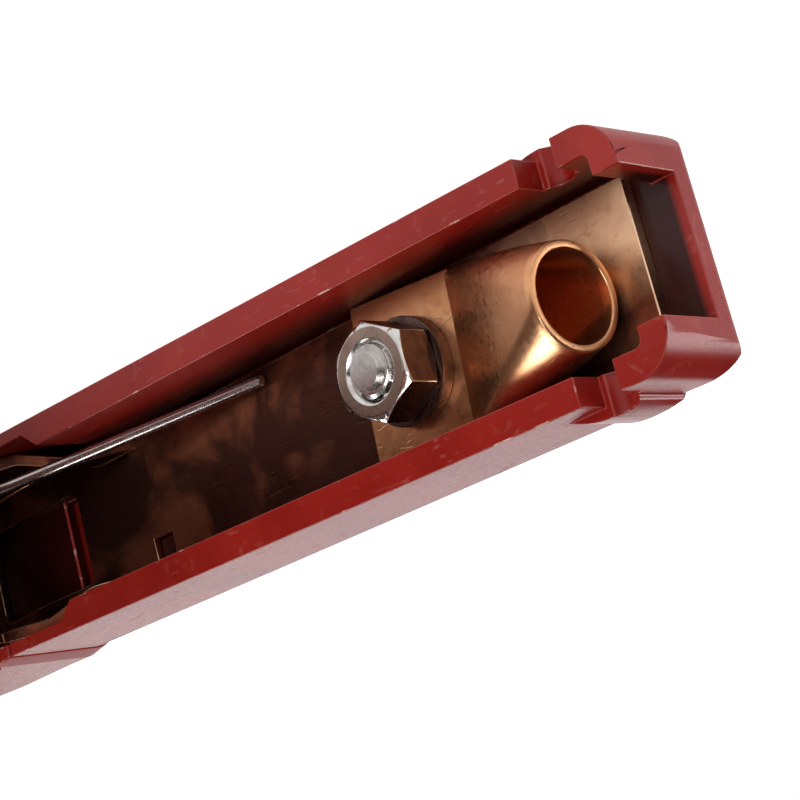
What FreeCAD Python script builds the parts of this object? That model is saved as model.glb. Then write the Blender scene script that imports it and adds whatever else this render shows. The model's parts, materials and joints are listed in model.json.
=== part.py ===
import FreeCAD, Part

# Insulated crocodile clip for battery and test leads, lying on its side.
# Two pressed steel arms turn on one pin. Each carries a moulded grip, a moulded jaw cover and a toothed
# contact. One arm also carries the cable lug on an M6 bolt. A coil spring on the pin closes the jaws.
#
# Arm frame, used for everything on one arm: the pin's axis is the origin, +X runs along the handle to
# its end, +Z points from the arm's web towards the other arm, and Y runs along the pin.
# Clip frame: the pin's axis is Z, the jaws meet on the plane Y = 0 and point to -X.

import math
import os

from FreeCAD import Placement, Rotation, Vector

# Overall layout
SPLAY = 17.0  # degrees between each handle and the middle plane, jaws shut
HANDLE_REACH = 112.1  # pin axis to the grip's end face
BOLT_REACH = 75.0  # pin axis to the lug bolt
PIVOT_RISE = 17.4  # pin axis above the web's inner face
SIDE_REACH = 14.1  # half thickness of the whole clip, finger stops and jaw covers

# Pressed arms
SHEET = 1.5
WEB_HALF = 9.2  # half width of the web in the handle
ARM_END_GAP = 5.5  # from the arm's end to the grip's end face
EAR_RADIUS = 9.0
EAR_HALF_OUTER = 11.5  # outer half width over the ears of the cable arm
EAR_GAP = 0.1  # between the ears of the two arms, each side
EAR_ZONE = 12.5  # reach of the wide zone before and behind the pin
EAR_JOG = 5.5  # length over which the width changes
FLANGE_START = 27.0  # where the handle's side flanges run out
FLANGE_EDGE = 2.2  # from the jaws' middle plane to the arm's flange edge
BEND_RADIUS = 30.0
JAW_REACH = 57.0  # pin axis to the arm's nose, along the arm frame
JAW_DROP = 6.5  # how far the web falls away over the jaw's length
WINDOW = (-9.0, 12.5, 6.0)  # window in the web under the coil: start, end, half width
LATCH_SLOT = (27.5, -5.7, 3.6, 3.0)  # square punched hole: place along and across, length, width

# Moulded grip
GRIP_START = 8.5
GRIP_HALF_FRONT = 13.5
GRIP_HALF_END = 12.9
GRIP_FLOOR = 3.7
GRIP_BACK_ROUND = 4.0
GRIP_END_ROUND = 1.8
GRIP_CORNER_ROUND = 4.5
END_LEAN = 0.4  # how far the end face leans in from the rim to the back
CHANNEL_HALF = 9.75
CHANNEL_HALF_FRONT = 11.8
CHANNEL_STEP = 19.0
RIM_AT_BOLT = 8.08  # pin axis down to the rim, at the bolt
RIM_SLOPE = 0.039
LIP_THICK = 3.2
MOUTH_HALF = 7.6
MOUTH_SHIFT = -0.2  # the mouth lies a little off the middle, towards the side where the lug points
REST_NOTCH = (100.5, 105.3)  # low stretch of both rims, just before the corner posts
REST_NOTCH_FLOOR = 13.0  # below the pin axis
NOTCH_DISH = 2.0
STOP_START = 95.6  # low bulge on each side wall: where it rises, its crown and its steep end
STOP_CROWN = 100.8
STOP_END = 104.3
STOP_PROUD = 0.55  # of the steep end over the side wall
HEAD_GROOVE_HALF = 5.7
HEAD_GROOVE_DEEP = 2.6
LATCH_GAP = 0.25
LATCH_SUNK = 0.9  # peg's top below the web's inner face

# Jaw cover
COVER_REAR = 8.0
COVER_WALL = 2.6
COVER_NOSE = 63.2
COVER_RIM = 1.2  # from the middle plane to the rim
COVER_HALF_NOSE = 12.4
NOSE_CORNER = 4.0
COVER_BACK_ROUND = 3.0
COVER_PIN_CLEAR = 7.6

# Toothed contacts
CONTACT_SHEET = 1.5
CONTACT_GAP = 0.05  # to the arm's flanges, each side
TOOTH_PITCH = 4.0
TOOTH_DEEP = 2.0
TOOTH_COUNT = 8
TOOTH_FIRST = 29.0  # from the pin axis, on the middle plane
MESH_GAP = 0.7
CONTACT_REAR = 17.0
THROAT_DEEP = 7.0
RIVET_PLACES = (26.0, JAW_REACH - 10.0)
RIVET_RADIUS = 2.0
RIVET_HEAD_RADIUS = 3.2
RIVET_HEAD_THICK = 1.2

# Pin, sleeve and spring
PIN_RADIUS = 3.0
PIN_RUNNING = 0.05
PIN_HEAD_RADIUS = 5.4
PIN_HEAD_THICK = 1.7
PIN_HEAD_EDGE = 0.8  # chamfer of head and tail
PIN_TAIL_RADIUS = 4.3
PIN_TAIL_THICK = 1.4
PIN_WASHER_RADIUS = 5.8
PIN_WASHER_THICK = 0.8
SLEEVE_RADIUS = 3.7
SLEEVE_END_GAP = 0.1
WIRE_RADIUS = 0.75
WIRE_SIDES = 12  # flats that draw the round wire
COIL_RADIUS = 5.2
COIL_TURNS = 5  # whole turns, beside the part turn between the legs
COIL_ARCS = 4  # arcs that make one turn
COIL_END_GAP = 0.2
LEG_REACH = 51.7
LEG_LIFT = 0.05

# Cable lug and its fixing
PALM_THICK = 1.4
PALM_BACK = 7.4
PALM_FRONT = 7.65
PALM_HALF = 9.2
LUG_TURN = -4.3  # degrees about the bolt
BARREL_RADIUS = 5.7
BARREL_WALL = 0.7
BARREL_START = 22.0
BARREL_MOUTH = 27.2
BARREL_RISE = 6.5  # axis above the palm's underside at the mouth
BARREL_TILT = 7.5  # degrees
NECK_ROOT = 0.6  # how far the pressed neck starts inside the palm
NECK_INSET = 0.08
PRESSED_WALL = 0.8  # of each wall's thickness that is left where the neck is pressed flat
NECK_SIDES = 24  # flats that draw the neck's round
NECK_STEPS = 10  # sections along the neck
BOLT_RADIUS = 3.0
BOLT_CLEAR = 0.2
BOLT_PROUD = 0.9
BOLT_POINT = (1.0, 0.6)  # chamfer of the bolt's end: across, along
BOLT_HEAD_RADIUS = 5.25
BOLT_HEAD_THICK = 2.4
BOLT_HEAD_EDGE = 0.6
WASHER_RADIUS = 6.0
WASHER_THICK = 1.6
NUT_FLATS = 10.0
NUT_HEIGHT = 5.0
NUT_FACE_RADIUS = 4.72
NUT_MOUTH_RADIUS = 3.55  # of the countersink at both ends of its thread
NUT_MOUTH_DEEP = 0.5

WIDE = 60.0  # larger than any section that it cuts

JAW_SLOPE = JAW_DROP / JAW_REACH
WEB_OUTER = PIVOT_RISE + SHEET
GRIP_BACK = WEB_OUTER + GRIP_FLOOR
BEARING_HALF = EAR_HALF_OUTER - SHEET - EAR_GAP  # outer half width over the plain arm's ears
COIL_HALF = BEARING_HALF - SHEET - COIL_END_GAP - WIRE_RADIUS


def middle(x, y):
    """Takes a point given along and off the jaws' middle plane into the arm frame."""
    turn = math.radians(SPLAY)
    return x * math.cos(turn) - y * math.sin(turn), x * math.sin(turn) + y * math.cos(turn)


def rim_height(x):
    """Height of the grip's rim in the arm frame."""
    return -RIM_AT_BOLT - RIM_SLOPE * (x - BOLT_REACH)


def web_height(x, lift=0.0):
    """Height of a line parallel to the web's outer face, lifted square to it."""
    if x >= 0.0:
        return -WEB_OUTER + lift
    return -WEB_OUTER + JAW_SLOPE * x + lift * math.hypot(1.0, JAW_SLOPE)


def outline(corners, place):
    """Makes a closed face from corners (a, b, radius), with tangent arcs at the round ones."""
    count = len(corners)
    flats = [Vector(a, b, 0) for a, b, _ in corners]
    edges = []
    joints = []
    for index, (_, _, radius) in enumerate(corners):
        point = flats[index]
        back = (flats[index - 1] - point).normalize()
        ahead = (flats[(index + 1) % count] - point).normalize()
        half = back.getAngle(ahead) / 2.0
        if radius <= 0.0 or (back + ahead).Length < 1e-3:
            joints.append((point, None, point))
            continue
        cut = radius / math.tan(half)
        centre = point + (back + ahead).normalize() * (radius / math.sin(half))
        crown = centre + (point - centre).normalize() * radius
        joints.append((point + back * cut, crown, point + ahead * cut))
    for index, (start, crown, end) in enumerate(joints):
        if crown is not None:
            edges.append(Part.Arc(place(start), place(crown), place(end)).toShape())
        following = joints[(index + 1) % count][0]
        if (following - end).Length > 1e-6:
            edges.append(Part.makeLine(place(end), place(following)))
    return Part.Face(Part.Wire(edges))


def from_side(corners, half=WIDE):
    """Extrudes a side outline (along, height) to both sides of the middle."""
    face = outline(corners, lambda p: Vector(p.x, -half, p.y))
    return face.extrude(Vector(0, 2 * half, 0))


def from_above(corners, low=-WIDE, high=WIDE):
    """Extrudes a plan outline (along, across) between two heights."""
    face = outline(corners, lambda p: Vector(p.x, p.y, low))
    return face.extrude(Vector(0, 0, high - low))


def from_end(corners, start, end):
    """Extrudes a cross-section (across, height) along the arm."""
    face = outline(corners, lambda p: Vector(start, p.x, p.y))
    return face.extrude(Vector(end - start, 0, 0))


def mirrored(half_plan):
    """Closes a half plan, listed from one end to the other on the +Y side, by its mirror image."""
    return half_plan + [(a, -b, r) for a, b, r in reversed(half_plan)]


def across(radius, x, z, half=WIDE):
    """A cylinder along Y, centred on the middle."""
    return Part.makeCylinder(radius, 2 * half, Vector(x, -half, z), Vector(0, 1, 0))


def upright(radius, x, y, low, high):
    """A cylinder along Z between two heights."""
    return Part.makeCylinder(radius, high - low, Vector(x, y, low))


def ring(outer, inner, low, high):
    """A plain ring round the arm frame's Z axis."""
    return upright(outer, 0, 0, low, high).cut(upright(inner, 0, 0, low, high))


def arm_plan(ear_half, inset):
    """Plan of an arm: handle, wide or narrow ears, and jaw."""
    handle = WEB_HALF - inset
    ears = ear_half - inset
    jaw = BEARING_HALF - inset
    grow = inset + 1.0 if inset else 0.0
    return mirrored([
        (HANDLE_REACH - ARM_END_GAP + grow, handle, 0),
        (EAR_ZONE + EAR_JOG, handle, 3.0),
        (EAR_ZONE, ears, 3.0),
        (-EAR_ZONE, ears, 3.0),
        (-EAR_ZONE - EAR_JOG, jaw, 3.0),
        (-JAW_REACH - grow, jaw, 0),
    ])


def arm_blank(ear_half):
    """The bent channel of one arm before its holes are punched."""
    end = HANDLE_REACH - ARM_END_GAP
    nose = (-JAW_REACH, web_height(-JAW_REACH))
    nose_edge = middle(-JAW_REACH - 3.6, -FLANGE_EDGE)
    throat_edge = middle(-EAR_RADIUS, -FLANGE_EDGE - 1.0)
    side = from_side([
        (end, -WEB_OUTER, 0),
        (0, -WEB_OUTER, BEND_RADIUS),
        (nose[0], nose[1], 0),
        (nose_edge[0], nose_edge[1], 2.0),
        (throat_edge[0], throat_edge[1], 0),
        (0, -EAR_RADIUS * 0.5, 0),
        (EAR_RADIUS * 0.9, -EAR_RADIUS * 0.75, 8.0),
        (FLANGE_START, -PIVOT_RISE, 0),
        (end, -PIVOT_RISE, 0),
    ])
    solid = side.fuse(across(EAR_RADIUS, 0, 0)).common(from_above(arm_plan(ear_half, 0.0)))
    hollow = from_side([
        (end + WIDE, -PIVOT_RISE, 0),
        (0, -PIVOT_RISE, BEND_RADIUS - SHEET),
        (-JAW_REACH * 2, web_height(-JAW_REACH * 2, SHEET), 0),
        (-JAW_REACH * 2, WIDE, 0),
        (end + WIDE, WIDE, 0),
    ]).common(from_above(arm_plan(ear_half, SHEET)))
    return solid.cut(hollow)


def punched_arm(ear_half, pin_hole, with_bolt_hole):
    """One arm with its pin holes, rivet holes, latch slot, window and, on one arm, the bolt hole."""
    start, end, half = WINDOW
    along, aside, length, width = LATCH_SLOT
    tools = [
        across(pin_hole, 0, 0),
        from_above(mirrored([(end, half, 1.5), (start, half, 1.5)]), -WIDE, -PIVOT_RISE + SHEET),
        Part.makeBox(length, width, 10, Vector(along - length / 2, aside - width / 2, -WEB_OUTER - 5)),
    ]
    for place in RIVET_PLACES:
        tools.append(rivet_shape(place, RIVET_RADIUS, -WIDE / 3, WIDE / 3))
    if with_bolt_hole:
        tools.append(upright(BOLT_RADIUS + BOLT_CLEAR, BOLT_REACH, 0, -WIDE, 0))
    return arm_blank(ear_half).cut(tools).removeSplitter()


def rivet_shape(place, radius, low, high):
    """A cylinder square to the jaw's web, its heights measured from the web's outer face."""
    normal = Vector(-JAW_SLOPE, 0, 1).normalize()
    foot = Vector(-place, 0, web_height(-place))
    return Part.makeCylinder(radius, high - low, foot + normal * low, normal)


def contact_rivets():
    """The two rivets that hold a contact, each with a flat head inside and outside."""
    grip = SHEET + CONTACT_SHEET
    solids = []
    for place in RIVET_PLACES:
        shank = rivet_shape(place, RIVET_RADIUS, 0, grip)
        outside = rivet_shape(place, RIVET_HEAD_RADIUS, -RIVET_HEAD_THICK, 0)
        inside = rivet_shape(place, RIVET_HEAD_RADIUS, grip, grip + RIVET_HEAD_THICK)
        solids.append(shank.fuse([outside, inside]).removeSplitter())
    return Part.makeCompound(solids)


def toothed_edge(phase):
    """Points of the toothed edge from the throat to the nose, on the jaws' middle plane."""
    points = []
    for step in range(2 * TOOTH_COUNT + 1):
        tip = (step + phase) % 2
        offset = -MESH_GAP / 2 + (TOOTH_DEEP / 2 if tip else -TOOTH_DEEP / 2)
        points.append(middle(-TOOTH_FIRST - step * TOOTH_PITCH / 2, offset))
    return points


def contact(phase):
    """The toothed contact, a channel that lies in the arm's jaw."""
    lift = SHEET
    front = -JAW_REACH - 0.6
    teeth = toothed_edge(phase)
    corners = [
        (-CONTACT_REAR, web_height(-CONTACT_REAR, lift), 0),
        (-CONTACT_REAR, web_height(-CONTACT_REAR, lift) + CONTACT_SHEET + 1.5, 0),
        (-CONTACT_REAR - 4.5, web_height(-CONTACT_REAR, lift) + THROAT_DEEP - 2.0, 3.0),
    ]
    corners += [(a, b, 0) for a, b in teeth]
    corners.append((front, web_height(front, lift), 0))
    outer_half = BEARING_HALF - SHEET - CONTACT_GAP
    inner_half = outer_half - CONTACT_SHEET
    body = from_side(corners, outer_half)
    hollow = from_side([
        (0, web_height(0, lift + CONTACT_SHEET), 0),
        (-2 * JAW_REACH, web_height(-2 * JAW_REACH, lift + CONTACT_SHEET), 0),
        (-2 * JAW_REACH, WIDE, 0),
        (0, WIDE, 0),
    ], inner_half)
    body = body.cut(hollow)
    holes = [rivet_shape(place, RIVET_RADIUS, -WIDE / 3, WIDE / 3) for place in RIVET_PLACES]
    return body.cut(holes)


def grip_envelope(extra):
    """The grip's outer form, wider by extra on each side."""
    front = GRIP_HALF_FRONT + extra
    end = GRIP_HALF_END + extra
    section = from_end(
        mirrored_section(front, -GRIP_BACK, GRIP_BACK_ROUND + extra), GRIP_START, HANDLE_REACH
    )
    plan = from_above(mirrored([(GRIP_START, front, 0), (HANDLE_REACH, end, GRIP_CORNER_ROUND)]))
    side = from_side([
        (GRIP_START, -GRIP_BACK, 0),
        (HANDLE_REACH - END_LEAN, -GRIP_BACK, GRIP_END_ROUND),
        (HANDLE_REACH, rim_height(HANDLE_REACH), 0),
        (GRIP_START, rim_height(GRIP_START), 0),
    ])
    return section.common(plan).common(side)


def mirrored_section(half, low, radius):
    """A U-shaped cross-section with round lower corners."""
    return [(half, WIDE, 0), (half, low, radius), (-half, low, radius), (-half, WIDE, 0)]


def side_half(x):
    """Half width of the grip over its side walls, which close in towards the end."""
    share = (x - GRIP_START) / (HANDLE_REACH - GRIP_START)
    return GRIP_HALF_FRONT + (GRIP_HALF_END - GRIP_HALF_FRONT) * share


def finger_stops():
    """The low bulge on the outside of each side wall, rising from the handle and ending in a step."""
    start = Vector(STOP_START, side_half(STOP_START) - 0.1, -WIDE)
    crown = Vector(STOP_CROWN, SIDE_REACH, -WIDE)
    end = Vector(STOP_END, side_half(STOP_END) + STOP_PROUD, -WIDE)
    inner_end = Vector(STOP_END, 0, -WIDE)
    inner_start = Vector(STOP_START, 0, -WIDE)
    plan = Part.Wire([
        Part.Arc(start, crown, end).toShape(), Part.makeLine(end, inner_end),
        Part.makeLine(inner_end, inner_start), Part.makeLine(inner_start, start),
    ])
    bulge = Part.Face(plan).extrude(Vector(0, 0, WIDE - REST_NOTCH_FLOOR))
    one = bulge.common(grip_envelope(SIDE_REACH - side_half(STOP_CROWN)))
    other = one.mirror(Vector(0, 0, 0), Vector(0, 1, 0))
    return one.fuse(other)


def grip():
    """The moulded grip: a channel with corner posts, a cable mouth and low rests in its rims."""
    body = grip_envelope(0.0).fuse(finger_stops())
    lip = HANDLE_REACH - LIP_THICK
    channel = from_above(mirrored([
        (GRIP_START - 1, CHANNEL_HALF_FRONT, 0),
        (CHANNEL_STEP, CHANNEL_HALF_FRONT, 0),
        (CHANNEL_STEP + 2.5, CHANNEL_HALF, 0),
        (lip, CHANNEL_HALF, 0.8),
    ]), -WEB_OUTER, WIDE)
    mouth = from_above([
        (lip - 1, MOUTH_SHIFT + MOUTH_HALF, 0), (HANDLE_REACH + WIDE, MOUTH_SHIFT + MOUTH_HALF, 0),
        (HANDLE_REACH + WIDE, MOUTH_SHIFT - MOUTH_HALF, 0), (lip - 1, MOUTH_SHIFT - MOUTH_HALF, 0),
    ], -WEB_OUTER, WIDE)
    start, end = REST_NOTCH
    rests = Part.makeBox(end - start, 2 * WIDE, WIDE, Vector(start, -WIDE, -REST_NOTCH_FLOOR))
    dish = across(NOTCH_DISH, (start + end) / 2, -REST_NOTCH_FLOOR + NOTCH_DISH * 0.55)
    groove = from_above(mirrored([
        (GRIP_START - 1, HEAD_GROOVE_HALF, 0),
        (BOLT_REACH + HEAD_GROOVE_HALF, HEAD_GROOVE_HALF, HEAD_GROOVE_HALF - 0.1),
    ]), -WEB_OUTER - HEAD_GROOVE_DEEP, WIDE)
    body = body.cut([channel, mouth, rests, dish, groove])
    return body.fuse(latch_peg()).removeSplitter()


def latch_peg():
    """The moulded peg that stands in the arm's square hole and keeps the grip on."""
    along, aside, length, width = LATCH_SLOT
    length -= 2 * LATCH_GAP
    width -= 2 * LATCH_GAP
    foot = -WEB_OUTER - HEAD_GROOVE_DEEP - 0.5
    top = -PIVOT_RISE - LATCH_SUNK
    return Part.makeBox(length, width, top - foot, Vector(along - length / 2, aside - width / 2, foot))


def jaw_cover():
    """The moulded cover over the ears and the outside of one jaw."""
    nose = -COVER_NOSE + 4.0
    nose_low = (nose, web_height(nose, -COVER_WALL), 5.0)
    nose_top = middle(-COVER_NOSE - 2.6, -COVER_RIM)
    rim_rear = middle(-EAR_RADIUS, -COVER_RIM)
    side = from_side([
        (COVER_REAR, -GRIP_BACK, 0),
        (0, -GRIP_BACK, BEND_RADIUS + COVER_WALL),
        nose_low,
        (nose_top[0], nose_top[1], 2.5),
        (rim_rear[0], rim_rear[1], 0),
        (COVER_REAR, rim_height(COVER_REAR), 0),
    ])
    plan = from_above(mirrored([
        (COVER_REAR, GRIP_HALF_FRONT, 0),
        (COVER_REAR - 3, SIDE_REACH, 2.0),
        (-EAR_ZONE, SIDE_REACH, 20.0),
        (-COVER_NOSE - 2, COVER_HALF_NOSE, NOSE_CORNER),
    ]))
    body = side.common(plan)
    back = [edge for edge in body.Edges if is_back_edge(edge)]
    body = body.makeFillet(COVER_BACK_ROUND, back)
    hollow = from_side([
        (COVER_REAR + 5, -WEB_OUTER, 0),
        (0, -WEB_OUTER, BEND_RADIUS),
        (-2 * JAW_REACH, web_height(-2 * JAW_REACH), 0),
        (-2 * JAW_REACH, WIDE, 0),
        (COVER_REAR + 5, WIDE, 0),
    ]).common(from_above(mirrored([
        (COVER_REAR + 5, CHANNEL_HALF_FRONT, 0),
        (-EAR_ZONE - EAR_JOG - 1.5, CHANNEL_HALF_FRONT, 0),
        (-EAR_ZONE - EAR_JOG - 4, BEARING_HALF + 0.3, 0),
        (-COVER_NOSE + COVER_WALL, BEARING_HALF + 0.3, 0.8),
    ])))
    cuts = [hollow, across(COVER_PIN_CLEAR, 0, 0)]
    for place in RIVET_PLACES:
        cuts.append(rivet_shape(place, RIVET_HEAD_RADIUS + 0.4, -WIDE / 3, 0.5))
    return body.cut(cuts).removeSplitter()


def is_back_edge(edge):
    """True for the long edges between a jaw cover's back and its side walls."""
    box = edge.BoundBox
    aside = min(abs(box.YMin), abs(box.YMax)) > COVER_HALF_NOSE - NOSE_CORNER
    long = box.XLength > 2.0
    low = box.ZMax < -GRIP_BACK + 2.0
    return aside and long and low


def pivot_pin():
    """The shouldered rivet that both arms turn on, its tail peened over the washer."""
    half = EAR_HALF_OUTER
    tail = half + PIN_WASHER_THICK
    tail_end = tail + PIN_TAIL_THICK
    return turned_on_y([
        (0, -half - PIN_HEAD_THICK), (PIN_HEAD_RADIUS - PIN_HEAD_EDGE, -half - PIN_HEAD_THICK),
        (PIN_HEAD_RADIUS, -half - PIN_HEAD_THICK + PIN_HEAD_EDGE), (PIN_HEAD_RADIUS, -half),
        (PIN_RADIUS, -half), (PIN_RADIUS, tail), (PIN_TAIL_RADIUS, tail),
        (PIN_TAIL_RADIUS, tail_end - PIN_HEAD_EDGE), (PIN_TAIL_RADIUS - PIN_HEAD_EDGE, tail_end), (0, tail_end),
    ])


def turned_on_y(profile):
    """Turns a profile of (radius, place) points about the pin's axis."""
    points = [Vector(radius, place, 0) for radius, place in profile]
    face = Part.Face(Part.makePolygon(points + points[:1]))
    return face.revolve(Vector(0, 0, 0), Vector(0, 1, 0), 360)


def pivot_washer():
    """The washer under the pin's peened tail."""
    outer = Part.makeCylinder(PIN_WASHER_RADIUS, PIN_WASHER_THICK, Vector(0, EAR_HALF_OUTER, 0),
                              Vector(0, 1, 0))
    return outer.cut(across(PIN_RADIUS, 0, 0))


def spring_sleeve():
    """The tube that spaces the plain arm's ears and carries the coil."""
    half = BEARING_HALF - SHEET - SLEEVE_END_GAP
    return across(SLEEVE_RADIUS, 0, 0, half).cut(across(PIN_RADIUS + PIN_RUNNING, 0, 0))


def leg_line():
    """Start, direction and length of the leg that presses on the web, in the arm frame's side view."""
    end_x = LEG_REACH
    end_z = -PIVOT_RISE + WIRE_RADIUS + LEG_LIFT
    distance = math.hypot(end_x, end_z)
    angle = math.atan2(end_z, end_x) + math.asin(COIL_RADIUS / distance)
    length = math.sqrt(distance ** 2 - COIL_RADIUS ** 2)
    return angle, length


def torsion_spring():
    """The closing spring in the clip frame: a coil on the sleeve with a long leg to each handle."""
    angle, length = leg_line()
    lean = angle - math.radians(SPLAY)
    start = lean - math.pi / 2
    turns = COIL_TURNS + (math.pi + start) / math.pi
    steps = round(turns * COIL_ARCS)

    def coil_point(share):
        turn = start - 2 * math.pi * turns * share
        return Vector(COIL_RADIUS * math.cos(turn), COIL_RADIUS * math.sin(turn), COIL_HALF * (2 * share - 1))

    along = Vector(math.cos(lean), math.sin(lean), 0) * length
    low, high = coil_point(0.0), coil_point(1.0)
    edges = [Part.makeLine(low + along, low)]
    for step in range(steps):
        arc = Part.Arc(coil_point(step / steps), coil_point((step + 0.5) / steps), coil_point((step + 1) / steps))
        edges.append(arc.toShape())
    edges.append(Part.makeLine(high, high + Vector(along.x, -along.y, 0)))
    side = Vector(0, 0, 1).cross(along).normalize()
    rim = []
    for angle in round_steps(WIRE_SIDES):
        rim.append(low + along + side * (WIRE_RADIUS * math.cos(angle))
                   + Vector(0, 0, WIRE_RADIUS * math.sin(angle)))
    profile = Part.makePolygon(rim + rim[:1])
    return Part.Wire(edges).makePipeShell([profile], True, True)


def round_steps(sides):
    """Angles of the corners of a many-sided round, with a flat at each quarter."""
    return [2 * math.pi * (step + 0.5) / sides for step in range(sides)]


def pressed_section(inset):
    """The flat oblong where the lug's neck leaves the palm: flats above and below, half round ends."""
    x = PALM_FRONT - NECK_ROOT
    half_height = PALM_THICK / 2 - NECK_INSET - inset * PRESSED_WALL
    flat = PALM_HALF - NECK_INSET - inset - half_height
    points = []
    for angle in round_steps(NECK_SIDES):
        c, s = math.cos(angle), math.sin(angle)
        points.append(Vector(x, math.copysign(flat, c) + half_height * c, PALM_THICK / 2 + half_height * s))
    return points


def barrel_axis():
    """Start and direction of the lug's round stretch."""
    tilt = math.radians(BARREL_TILT)
    length = (BARREL_MOUTH - BARREL_START) / math.cos(tilt)
    axis = Vector(math.cos(tilt), 0, math.sin(tilt))
    return Vector(BARREL_MOUTH, 0, BARREL_RISE) - axis * length, axis, length


def barrel_section(radius):
    """The round section where the neck meets the barrel, square to the barrel's axis."""
    start, axis, _ = barrel_axis()
    up = Vector(-axis.z, 0, axis.x)
    points = []
    for angle in round_steps(NECK_SIDES):
        points.append(start + Vector(0, radius * math.cos(angle), 0) + up * (radius * math.sin(angle)))
    return points


def lug_neck(inset):
    """The stretch where the lug's round barrel is pressed flat: straight lines from oblong to round."""
    flat = pressed_section(inset)
    round_end = barrel_section(BARREL_RADIUS - inset)
    sections = []
    for step in range(NECK_STEPS + 1):
        share = step / NECK_STEPS
        points = [low + (high - low) * share for low, high in zip(flat, round_end)]
        sections.append(Part.makePolygon(points + points[:1]))
    return Part.makeLoft(sections, True, True)


def cable_lug():
    """The tube lug: palm, pressed neck and open barrel, turned a little on its bolt."""
    palm = from_above(mirrored([(-PALM_BACK, PALM_HALF, 0.6), (PALM_FRONT, PALM_HALF, 0)]), 0, PALM_THICK)
    start, axis, length = barrel_axis()
    barrel = Part.makeCylinder(BARREL_RADIUS, length, start, axis)
    bore = Part.makeCylinder(BARREL_RADIUS - BARREL_WALL, length + 1, start, axis)
    solid = palm.fuse(lug_neck(0.0)).fuse(barrel)
    solid = solid.cut(lug_neck(BARREL_WALL).fuse(bore))
    solid = solid.cut(upright(BOLT_RADIUS + BOLT_CLEAR, 0, 0, -1, PALM_THICK + 1))
    solid.rotate(Vector(0, 0, 0), Vector(0, 0, 1), LUG_TURN)
    solid.translate(Vector(BOLT_REACH, 0, -PIVOT_RISE))
    return solid


def lug_bolt():
    """The M6 bolt, its low head under the web and its chamfered end just past the nut."""
    top = -PIVOT_RISE + PALM_THICK + WASHER_THICK + NUT_HEIGHT + BOLT_PROUD
    low = -WEB_OUTER - BOLT_HEAD_THICK
    narrowing, point = BOLT_POINT
    return turned_on_z([
        (0, low), (BOLT_HEAD_RADIUS - BOLT_HEAD_EDGE, low), (BOLT_HEAD_RADIUS, low + BOLT_HEAD_EDGE),
        (BOLT_HEAD_RADIUS, -WEB_OUTER), (BOLT_RADIUS, -WEB_OUTER), (BOLT_RADIUS, top - point),
        (BOLT_RADIUS - narrowing, top), (0, top),
    ])


def turned_on_z(profile):
    """Turns a profile of (radius, height) points about the lug bolt's axis."""
    points = [Vector(BOLT_REACH + radius, 0, height) for radius, height in profile]
    face = Part.Face(Part.makePolygon(points + points[:1]))
    return face.revolve(Vector(BOLT_REACH, 0, 0), Vector(0, 0, 1), 360)


def lug_washer():
    """The plain washer on the lug's palm."""
    low = -PIVOT_RISE + PALM_THICK
    washer = ring(WASHER_RADIUS, BOLT_RADIUS + BOLT_CLEAR, low, low + WASHER_THICK)
    washer.translate(Vector(BOLT_REACH, 0, 0))
    return washer


def lug_nut():
    """The hexagon nut, both faces chamfered and both ends of its thread countersunk, two corners along Y."""
    low = -PIVOT_RISE + PALM_THICK + WASHER_THICK
    high = low + NUT_HEIGHT
    reach = NUT_FLATS / 2 / math.cos(math.pi / 6)
    corners = []
    for step in range(6):
        angle = math.pi / 2 + step * math.pi / 3
        corners.append((BOLT_REACH + reach * math.cos(angle), reach * math.sin(angle), 0))
    drop = (reach - NUT_FACE_RADIUS) * math.tan(math.radians(30))
    turned = turned_on_z([
        (BOLT_RADIUS, low + NUT_MOUTH_DEEP), (NUT_MOUTH_RADIUS, low), (NUT_FACE_RADIUS, low),
        (reach, low + drop), (reach, high - drop), (NUT_FACE_RADIUS, high), (NUT_MOUTH_RADIUS, high),
        (BOLT_RADIUS, high - NUT_MOUTH_DEEP),
    ])
    return from_above(corners, low, high).common(turned)


def on_cable_side(shape):
    """Places a shape of the arm frame on the clip's -Y side, where the lug is."""
    turn = math.radians(SPLAY)
    rotation = Rotation(Vector(math.cos(turn), -math.sin(turn), 0), Vector(0, 0, -1),
                        Vector(math.sin(turn), math.cos(turn), 0), "XYZ")
    placed = shape.copy()
    placed.transformShape(Placement(Vector(0, 0, 0), rotation).toMatrix())
    return placed


def on_plain_side(shape):
    """Places a shape of the arm frame on the clip's +Y side, turned half round about the clip's X axis."""
    placed = on_cable_side(shape)
    placed.rotate(Vector(0, 0, 0), Vector(1, 0, 0), 180)
    return placed


def build():
    """Makes every node in the clip frame."""
    cover = grip()
    nose_cover = jaw_cover()
    rivets = contact_rivets()
    return {
        "cable_arm": on_cable_side(punched_arm(EAR_HALF_OUTER, PIN_RADIUS, True)),
        "cable_arm_grip": on_cable_side(cover),
        "cable_arm_jaw_cover": on_cable_side(nose_cover),
        "cable_arm_contact": on_cable_side(contact(0)),
        "cable_arm_contact_rivets": on_cable_side(rivets),
        "cable_lug": on_cable_side(cable_lug()),
        "lug_bolt": on_cable_side(lug_bolt()),
        "lug_washer": on_cable_side(lug_washer()),
        "lug_nut": on_cable_side(lug_nut()),
        "pivot_pin": on_cable_side(pivot_pin()),
        "pivot_washer": on_cable_side(pivot_washer()),
        "spring_sleeve": on_cable_side(spring_sleeve()),
        "torsion_spring": torsion_spring(),
        "plain_arm": on_plain_side(punched_arm(BEARING_HALF, PIN_RADIUS + PIN_RUNNING, False)),
        "plain_arm_grip": on_plain_side(cover),
        "plain_arm_jaw_cover": on_plain_side(nose_cover),
        "plain_arm_contact": on_plain_side(contact(1)),
        "plain_arm_contact_rivets": on_plain_side(rivets),
    }


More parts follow.
